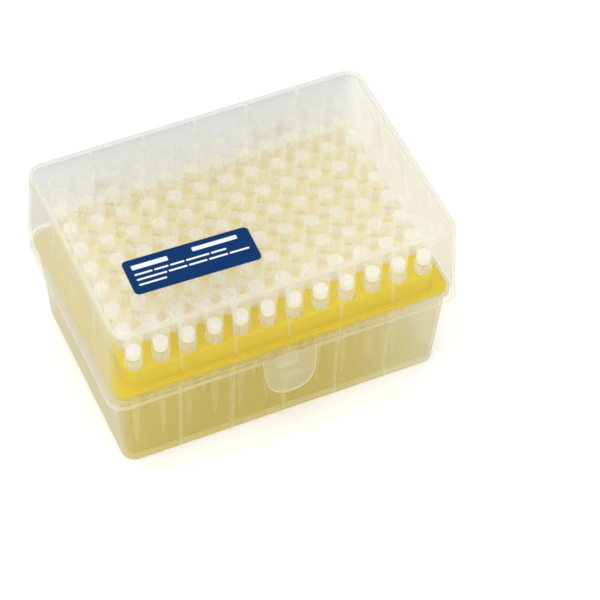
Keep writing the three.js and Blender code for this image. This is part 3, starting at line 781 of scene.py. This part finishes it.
rings = [tip_ring(*level) for level in TIP_OUTSIDE] + [tip_ring(r, d, None) for r, d in TIP_INSIDE]
tip = solid("tip", skin(rings, closed=True))
tips = copies(
    "tips", tip, Columns=COLUMNS, Rows=ROWS, Column_Pitch=PITCH, Row_Pitch=PITCH, Centre_Y=GRID_OFFSET,
    Height=MOUTH_HEIGHT, Turn=2 * math.pi, Seed=TIP_SEED,
    Finish=milky_plastic(
        "clear_tip", tip_haze, TIP_MILK, TIP_ROUGH, 0.0, forward=TIP_FORWARD, least=TIP_LEAST, glare=TIP_GLARE
    ),
)
soften(tips)
outer_rows = [row + f"{column:02d}" for row in "ah" for column in range(1, COLUMNS + 1)]
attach(tips, "box")
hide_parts(*[f"tip_{place}" for place in outer_rows])


# ---------------------------------------------------------------- filters
# A plug of white sintered polyethylene in each tip, which keeps spray out of the pipette. It is pressed in
# below the collar, and its grain is fine and matt.

# (radius, depth below the mouth) of the plug, from its foot up, in millimetres
FILTER_LEVELS = [(1.85, 16.0), (2.1, 15.8), (2.2, 15.4), (2.33, 12.7), (2.25, 12.35), (2.0, 12.2)]
FILTER_TOP = (0.98, 0.98, 0.98)
FILTER_FOOT_RACK_LIGHT = (0.97, 0.95, 0.78)  # painted yellow light from the rack
FILTER_SIDES = 28
FILTER_GLOW = 0.5
BEADS_SCALE = 5200.0
BEADS_RELIEF = 0.5
BEADS_DEPTH = 0.06 * MM

turns = [2 * math.pi * i / FILTER_SIDES for i in range(FILTER_SIDES)]
plug = solid("plug", skin([
    [Vector((r * MM * math.cos(t), r * MM * math.sin(t), -d * MM)) for t in turns] for r, d in FILTER_LEVELS
]))
porous, tree = shader_tree("porous_filter")
place = add_node(tree, "ShaderNodeTexCoord").outputs["Object"]
beads = add_node(tree, "ShaderNodeTexVoronoi", {"Vector": place, "Scale": BEADS_SCALE})
bump = add_node(tree, "ShaderNodeBump", {
    "Strength": BEADS_RELIEF, "Distance": BEADS_DEPTH, "Height": beads.outputs[0],
})
# The plug pales from painted yellow light from the rack at its foot to white at its top.
rack_light_fade = add_node(tree, "ShaderNodeMapRange", {
    "Value": add_node(tree, "ShaderNodeSeparateXYZ", {0: place}).outputs[2],
    "From Min": MOUTH_HEIGHT - FILTER_LEVELS[2][1] * MM, "From Max": MOUTH_HEIGHT - FILTER_LEVELS[3][1] * MM,
})
white = blend(tree, rack_light_fade.outputs[0], FILTER_FOOT_RACK_LIGHT, FILTER_TOP)
lit = add_node(tree, "ShaderNodeBsdfDiffuse", {"Color": white, "Normal": bump.outputs[0]})
glow = add_node(tree, "ShaderNodeBsdfTranslucent", {"Color": white})
mixed = add_node(tree, "ShaderNodeMixShader", {0: FILTER_GLOW, 1: lit.outputs[0], 2: glow.outputs[0]})
tree.links.new(mixed.outputs[0], tree.nodes["Material Output"].inputs["Surface"])
filters = copies(
    "filters", plug, Columns=COLUMNS, Rows=ROWS, Column_Pitch=PITCH, Row_Pitch=PITCH, Centre_Y=GRID_OFFSET,
    Height=MOUTH_HEIGHT, Finish=porous,
)
soften(filters)
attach(filters, "box")
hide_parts(*[f"filter_{place}" for place in outer_rows])


# ---------------------------------------------------------------- lid
# The cover, injection moulded in natural polypropylene: a nearly clear front wall, a cloudier roof and ends
# and a cloudier back wall greyed by painted shade, ribs inside that widen under the roof, a thumb tab in
# front, and two clips behind that snap over the hinge pins. Painted yellow light from the rack tints the
# ends, and a painted highlight brightens the roundings.

LID_BOTTOM = 32.8 * MM
LID_TOP = 66.95 * MM
LID_CEILING = 65.55 * MM
LID_WALL = 1.1 * MM
LID_GAP = 0.4 * MM
LID_LEAN = Vector((0.055, 0.028))
LID_CORNER = 5.4 * MM
LID_EDGE = 2.0 * MM
LID_FOOT_EDGE = 0.25 * MM
LID_BEAD = 0.2 * MM
LID_BEAD_FULL = 2.5 * LID_FOOT_EDGE  # above the foot
LID_BEAD_END = 3.5 * LID_FOOT_EDGE
LID_EDGE_STEPS = 6
BACK_WALL_FOOT = 37.0 * MM
BACK_RIB_FOOT = 39.5 * MM
GUSSET_DEPTH = 3.0 * MM
GUSSET_START = 53.05 * MM
GUSSET_SHANK = 62.45 * MM
TAB_WIDTH = 18.5 * MM
TAB_FOOT_WIDTH = 17 * MM
TAB_DROP = 15.4 * MM
TAB_CORNER = 7.8 * MM
TAB_WALL = 0.9 * MM
TAB_FLARE = 2.2 * MM
TAB_EDGE = 0.2 * MM
TAB_FRONT_EDGE = 0.25 * MM
TAB_STEPS = 10
BEAD_RADIUS = 0.8 * MM
BEAD_HEIGHT = 24.2 * MM
CLIP_REACH = 6 * MM
CLIP_MOUTH = 1.7 * MM
CLIP_STEPS = 6
CLIP_SHOULDER = 0.6  # radians round the pin, where the arm leaves the knuckle
PIN_CLEARANCE = 0.2 * MM
BEYOND = 1.0 * MM  # how far a cutter passes what it cuts
ROOF_MILK = (0.90, 0.90, 0.86)
ROOF_ONWARD = (0.95, 0.95, 0.91)
# The next three colours are painted light: the rack's yellow light on the ends, shade on the back wall, and a
# highlight where the wall bends.
END_MILK_AND_RACK_LIGHT = (0.76, 0.75, 0.60)
BACK_PAINTED_SHADE = (0.58, 0.64, 0.68)
EDGE_PAINTED_HIGHLIGHT = (0.97, 0.97, 0.94)
HAZE_FRONT = 0.012
HAZE_BACK = 0.34
HAZE_END = 0.08
HAZE_ROOF = 0.15
HAZE_EDGE = 0.30
HAZE_BAND = 0.10
BAND_FOOT = LID_TOP - 4.6 * MM
BAND_TOP = LID_TOP - 4.0 * MM
HAZE_TAB = 0.20
HAZE_TAB_EDGE = 0.50
HAZE_TAB_ROUNDING = 0.1
TAB_MILK = (0.94, 0.94, 0.90)
TAB_ROUGH = 0.2
HAZE_RIB = 0.16
LID_RIB_MILK = (0.9, 0.9, 0.86)
LID_ROUGH = 0.16
RIB_POINT = 40 * MM
RIB_POINT_DEPTH = 0.1 * MM


def lid_half(z):
    """Half the lid's length and depth outside, at a height."""
    below = RIM_TOP - z
    return tuple(RIM_HALF[i] + LID_GAP + LID_WALL + LID_LEAN[i] * below for i in (0, 1))


def lid_inner(z):
    """The same inside."""
    return tuple(half - LID_WALL for half in lid_half(z))


def lid_ring(z, inset, corner=LID_CORNER):
    """A ring on the lid's leaning wall, or inset from it."""
    half_x, half_y = lid_half(z)
    return ring(half_x - inset, half_y - inset, corner - max(inset, 0), z)


def back_share(tree):
    """1 on both faces of the back wall."""
    across, up, _ = facing_shares(tree)
    place = add_node(tree, "ShaderNodeTexCoord").outputs["Object"]
    y = add_node(tree, "ShaderNodeSeparateXYZ", {0: place}).outputs[1]
    upright = math_node(tree, "SUBTRACT", 1.0, math_node(tree, "ADD", across, up))
    return math_node(tree, "MULTIPLY", math_node(tree, "GREATER_THAN", y, 0.0), upright)


def lid_haze(tree):
    """By face, and cloudier in a band under the roof's edge."""
    amount = haze_by_face(HAZE_FRONT, HAZE_END, HAZE_ROOF, HAZE_EDGE)(tree)
    amount = math_node(tree, "MULTIPLY_ADD", back_share(tree), HAZE_BACK - HAZE_FRONT, amount)
    place = add_node(tree, "ShaderNodeTexCoord").outputs["Object"]
    band = add_node(tree, "ShaderNodeMapRange", {
        "Value": add_node(tree, "ShaderNodeSeparateXYZ", {0: place}).outputs[2],
        "From Min": BAND_FOOT, "From Max": BAND_TOP, "To Min": 0.0, "To Max": HAZE_BAND,
    })
    upright = math_node(tree, "SUBTRACT", 1.0, facing_shares(tree)[1])
    return math_node(tree, "MULTIPLY_ADD", band.outputs[0], upright, amount)


def lid_milk_and_painted_light(roof):
    """A colour function: painted shade behind, the rack's painted yellow light on the ends, a painted
    highlight where the wall bends.
    """
    def colour(tree):
        across, _, slanting = facing_shares(tree)
        flat = blend(tree, across, roof, END_MILK_AND_RACK_LIGHT)
        return blend(tree, slanting, blend(tree, back_share(tree), flat, BACK_PAINTED_SHADE), EDGE_PAINTED_HIGHLIGHT)
    return colour


lid_plastic = milky_plastic(
    "lid_plastic", lid_haze, lid_milk_and_painted_light(ROOF_MILK), LID_ROUGH, onward=lid_milk_and_painted_light(ROOF_ONWARD)
)
tab_haze = haze_by_face(HAZE_TAB, HAZE_TAB_EDGE, HAZE_TAB_EDGE, HAZE_TAB_ROUNDING)
tab_plastic = milky_plastic("tab_plastic", tab_haze, TAB_MILK, TAB_ROUGH)
lid_rib_plastic = milky_plastic("lid_rib_plastic", HAZE_RIB, LID_RIB_MILK, LID_ROUGH)

inner_edge = LID_EDGE - LID_WALL
rings = [lid_ring(LID_CEILING, LID_WALL + inner_edge + FLAT_EDGE)]
rings += [lid_ring(LID_CEILING - drop, LID_WALL + inset) for inset, drop in rounding(inner_edge)]
rings.append(lid_ring(LID_CEILING - inner_edge - FLAT_EDGE, LID_WALL))
rings.append(lid_ring(LID_BOTTOM + LID_FOOT_EDGE, LID_WALL))
rings.append(lid_ring(LID_BOTTOM, LID_WALL - LID_FOOT_EDGE))
rings.append(lid_ring(LID_BOTTOM, 0))
rings.append(lid_ring(LID_BOTTOM + LID_FOOT_EDGE, -LID_BEAD))
rings.append(lid_ring(LID_BOTTOM + LID_BEAD_FULL, -LID_BEAD))
rings.append(lid_ring(LID_BOTTOM + LID_BEAD_END, 0))
rings.append(lid_ring(LID_BOTTOM + LID_BEAD_END + FLAT_EDGE, 0))
rings.append(lid_ring(LID_TOP - LID_EDGE - FLAT_EDGE, 0))
rings += [lid_ring(LID_TOP - drop, inset) for inset, drop in reversed(rounding(LID_EDGE, LID_EDGE_STEPS))]
rings.append(lid_ring(LID_TOP, LID_EDGE + FLAT_EDGE))
lid = solid("lid_shell", skin(rings))


def behind(name, below):
    """What is cut from the back wall and the rear corners, under a height."""
    front = RIM_HALF.y - BASE_CORNER
    back = lid_half(LID_BOTTOM)[1] + BEYOND
    bottom = LID_BOTTOM - BEYOND
    outline = [(front, bottom), (back, bottom), (back, below), (front, below)]
    return bar(name, outline, 2 * (lid_half(LID_BOTTOM)[0] + BEYOND))


combine(lid, [behind("back_cut", BACK_WALL_FOOT)], "DIFFERENCE")
lid_ribs = wall_ribs(
    "lid_rib",
    [
        (-RIB_ROOT, RIB_POINT),
        (RIB_POINT_DEPTH, RIB_POINT),
        (RIB_DEPTH, GUSSET_START),
        (GUSSET_DEPTH, GUSSET_SHANK),
        (GUSSET_DEPTH, LID_CEILING + RIB_ROOT),
        (0, LID_CEILING + RIB_ROOT),
    ],
    lid_inner,
    lid_rib_plastic,
)
for rib in lid_ribs:
    if "_y1" in rib.name:
        combine(rib, [behind("rib_cut", BACK_RIB_FOOT)], "DIFFERENCE")


def tab_outline():
    """Points of (across, up) round the thumb tab, whose foot is rounded."""
    foot = LID_BOTTOM - TAB_DROP
    top = LID_BOTTOM + RIB_ROOT
    half = TAB_FOOT_WIDTH / 2
    right = []
    for i in range(TAB_STEPS + 1):
        turn = math.pi / 2 * i / TAB_STEPS
        right.append((
            half - TAB_CORNER + TAB_CORNER * math.sin(turn),
            foot + TAB_CORNER - TAB_CORNER * math.cos(turn),
        ))
    right += [(TAB_WIDTH / 2, LID_BOTTOM), (TAB_WIDTH / 2, top)]
    return right + [(-x, z) for x, z in reversed(right)]


slope = TAB_FLARE / TAB_DROP
front_face = (LID_WALL - TAB_WALL) / 2 - lid_half(LID_BOTTOM)[1]


def tab_ring(depth, inset):
    """The tab's outline at a depth behind its front face, drawn in by inset at its edges."""
    points = []
    for x, z in tab_outline():
        narrow = 1 - inset / (TAB_FOOT_WIDTH / 2)
        up = z + inset * (LID_BOTTOM + RIB_ROOT - z) / TAB_DROP
        points.append(Vector((x * narrow, front_face + slope * (up - LID_BOTTOM) + depth, up)))
    return points


tab = solid("tab", skin([
    tab_ring(0, TAB_FRONT_EDGE),
    tab_ring(TAB_EDGE, 0),
    tab_ring(TAB_WALL - TAB_EDGE, 0),
    tab_ring(TAB_WALL, TAB_EDGE),
]))
bead_y = front_face + slope * (BEAD_HEIGHT - LID_BOTTOM) + TAB_WALL
bead = pin("bead", BEAD_RADIUS, CATCH_WIDTH, 0, bead_y, BEAD_HEIGHT)
arm_top = HINGE_Z + CLIP_REACH
under_pin = []
for i in range(1, CLIP_STEPS + 1):
    turn = math.pi / 2 * i / CLIP_STEPS
    under_pin.append((HINGE_Y + KNUCKLE * math.sin(turn), HINGE_Z - KNUCKLE * math.cos(turn)))
arm_outline = [
    (lid_half(HINGE_Z - KNUCKLE)[1] - RIB_ROOT, HINGE_Z - KNUCKLE),
    (HINGE_Y, HINGE_Z - KNUCKLE),
    *under_pin,
    (HINGE_Y + KNUCKLE * math.cos(CLIP_SHOULDER), HINGE_Z + KNUCKLE * math.sin(CLIP_SHOULDER)),
    (lid_half(arm_top)[1], arm_top),
    (lid_half(arm_top)[1] - RIB_ROOT, arm_top),
]
mouth_foot = HINGE_Z - KNUCKLE - BEYOND
mouth_outline = [
    (HINGE_Y - CLIP_MOUTH / 2, HINGE_Z),
    (HINGE_Y - CLIP_MOUTH / 2, mouth_foot),
    (HINGE_Y + CLIP_MOUTH / 2, mouth_foot),
    (HINGE_Y + CLIP_MOUTH / 2, HINGE_Z),
]
clips = []
for x in (-HINGE_X, HINGE_X):
    clip = bar("clip", arm_outline, CLIP_WIDTH, x)
    bore = pin("bore", PIN + PIN_CLEARANCE, CLIP_WIDTH + 2 * BEYOND, x, HINGE_Y, HINGE_Z)
    combine(clip, [bore, bar("clip_mouth", mouth_outline, CLIP_WIDTH + 2 * BEYOND, x)], "DIFFERENCE")
    clips.append(clip)
coat(lid_plastic, lid, *clips)
coat(tab_plastic, tab, bead)
combine(lid, lid_ribs + [tab, bead] + clips, "UNION")
soften(lid)
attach(lid, "lid")
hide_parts("lid")


# ---------------------------------------------------------------- label
# A blue printed sticker with round corners, put on the roof a little askew. Its print is plain white bars in
# place of words.

LABEL_LENGTH = 41.5 * MM
LABEL_WIDTH = 14 * MM
LABEL_THICK = 0.15 * MM
LABEL_CORNER = 1.6 * MM
LABEL_MARGIN_X = 12.8 * MM
LABEL_MARGIN_Y = 13.4 * MM
LABEL_TURN = math.radians(-1.8)
PRINT_THICK = 0.02 * MM
PRINT_CORNER = 0.25 * MM
PAPER_SPECK_SCALE = 2500.0
PAPER_SPECK = 0.08
PAPER_SPECK_DEPTH = 0.03 * MM
SHEET_ROUGH = 0.5
SHEET_GLOSS = 0.08
INK_SPECK_SCALE = 4000.0
INK_SPECK = 0.1
INK_SPECK_DEPTH = 0.02 * MM
INK_ROUGH = 0.55
LABEL_BLUE = (0.0, 0.030, 0.125)
INK_WHITE = (0.78, 0.82, 0.88)

label_middle = Vector((
    LABEL_MARGIN_X + LABEL_LENGTH / 2 - lid_half(LID_TOP)[0],
    LABEL_MARGIN_Y + LABEL_WIDTH / 2 - lid_half(LID_TOP)[1],
    0,
))


def on_label(point):
    """A point of the label, from its own middle to its place on the roof."""
    cos, sin = math.cos(LABEL_TURN), math.sin(LABEL_TURN)
    return label_middle + Vector((point.x * cos - point.y * sin, point.x * sin + point.y * cos, point.z))


def printed(left, low, right, high, bottom, top, corner):
    """A thin slab on the label, from its left and low edges to its right and high ones."""
    middle = Vector(((left + right) / 2, (low + high) / 2, 0))
    levels = []
    for z in (bottom, top):
        around = ring((right - left) / 2, (high - low) / 2, corner, z)
        levels.append([on_label(point + middle) for point in around])
    return skin(levels)


half_x, half_y = LABEL_LENGTH / 2, LABEL_WIDTH / 2
label = solid("label_sheet", printed(
    -half_x, -half_y, half_x, half_y, LID_TOP, LID_TOP + LABEL_THICK, LABEL_CORNER
))
blue, tree = shader_tree("label_blue")
place = add_node(tree, "ShaderNodeTexCoord").outputs["Object"]
speck = add_node(tree, "ShaderNodeTexNoise", {"Vector": place, "Scale": PAPER_SPECK_SCALE, "Detail": 2.0})
bump = add_node(tree, "ShaderNodeBump", {
    "Strength": PAPER_SPECK, "Distance": PAPER_SPECK_DEPTH, "Height": speck.outputs[0],
})
sheet_blue = add_node(tree, "ShaderNodeBsdfPrincipled", {
    "Base Color": (*LABEL_BLUE, 1),
    "Roughness": SHEET_ROUGH,
    "Specular IOR Level": SHEET_GLOSS,
    "Normal": bump.outputs[0],
})
tree.links.new(sheet_blue.outputs[0], tree.nodes["Material Output"].inputs["Surface"])
coat(blue, label)
soften(label)
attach(label, "lid")
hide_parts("label")

# (left, low, right, high) of each bar, in millimetres from the label's middle
PRINT_BARS = [
    (-18.4, 2.7, -6.6, 4.5), (1.6, 3.3, 16.4, 4.9),
    (-18.4, 0.3, -12.6, 1.0), (-12.0, 0.3, -7.4, 1.0), (-6.8, 0.3, -2.2, 1.0), (-1.6, 0.3, 6.0, 1.0),
    (6.6, 0.3, 11.6, 1.0),
    (-18.4, -1.8, -8.6, -1.1), (-8.0, -1.8, -2.0, -1.1), (-1.4, -1.8, 4.6, -1.1), (5.2, -1.8, 11.4, -1.1),
    (12.0, -1.8, 18.4, -1.1),
    (-18.4, -3.9, -9.4, -3.2),
]
marks = bmesh.new()
for left, low, right, high in PRINT_BARS:
    edges = [edge * MM for edge in (left, low, right, high)]
    slab = printed(*edges, LID_TOP + LABEL_THICK, LID_TOP + LABEL_THICK + PRINT_THICK, PRINT_CORNER)
    part = bpy.data.meshes.new("bar")
    slab.to_mesh(part)
    slab.free()
    marks.from_mesh(part)
    bpy.data.meshes.remove(part)
label_print = solid("label_print", marks)
ink, tree = shader_tree("white_ink")
place = add_node(tree, "ShaderNodeTexCoord").outputs["Object"]
speck = add_node(tree, "ShaderNodeTexNoise", {"Vector": place, "Scale": INK_SPECK_SCALE, "Detail": 2.0})
bump = add_node(tree, "ShaderNodeBump", {
    "Strength": INK_SPECK, "Distance": INK_SPECK_DEPTH, "Height": speck.outputs[0],
})
white_ink = add_node(tree, "ShaderNodeBsdfPrincipled", {
    "Base Color": (*INK_WHITE, 1), "Roughness": INK_ROUGH, "Normal": bump.outputs[0],
})
tree.links.new(white_ink.outputs[0], tree.nodes["Material Output"].inputs["Surface"])
coat(ink, label_print)
soften(label_print)
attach(label_print, "lid")
